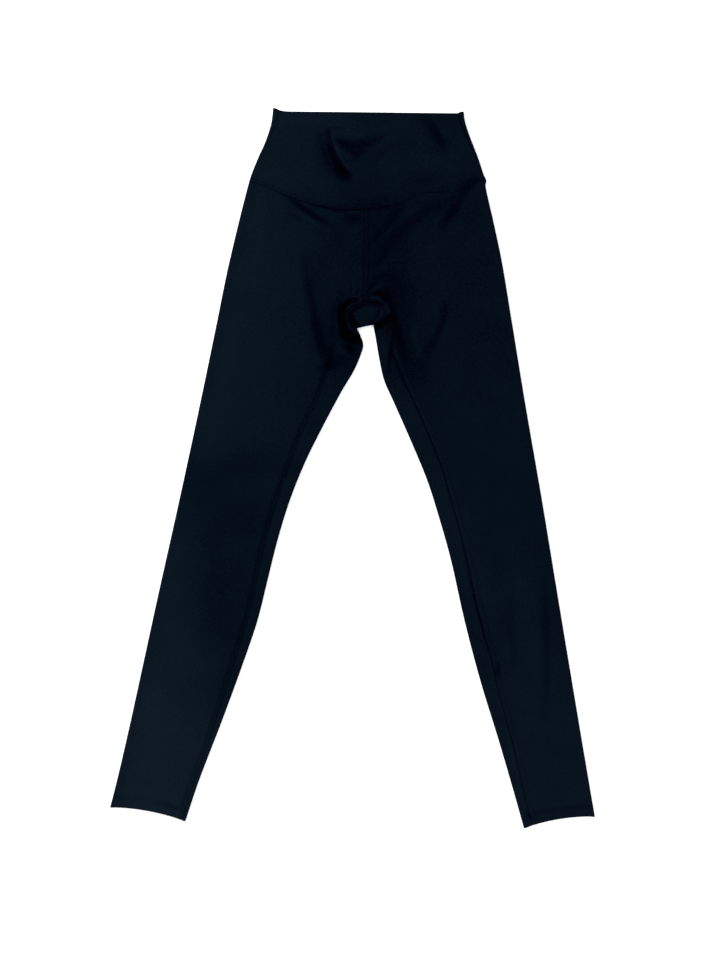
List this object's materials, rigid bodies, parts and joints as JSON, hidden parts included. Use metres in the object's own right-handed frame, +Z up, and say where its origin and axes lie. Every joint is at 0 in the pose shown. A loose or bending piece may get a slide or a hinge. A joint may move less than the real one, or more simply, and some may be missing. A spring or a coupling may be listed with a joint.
{
  "type": "leggings",
  "caption": "Full-length high-waisted leggings laid flat, with a curved waistband, a raised centre-front seam, a folded crotch gusset and turned-up hems.",
  "frame": {"origin": "under the middle of the garment as it lies, on the surface it rests on", "axes": "+Y towards the waist, +X to the wearer's left, +Z up through the cloth, with the front of the garment upwards"},
  "size_m": [0.6297, 0.9358, 0.0116],
  "materials": {
    "leg_jersey": "matte brushed stretch jersey, very dark navy",
    "waistband_jersey": "matte brushed stretch jersey, doubled, very dark navy"
  },
  "bodies": {
    "root": {"waistband_front": "waistband_jersey", "waistband_back": "waistband_jersey", "leg_right": "leg_jersey", "leg_left": "leg_jersey", "gusset": "leg_jersey"}
  },
  "joints": []
}
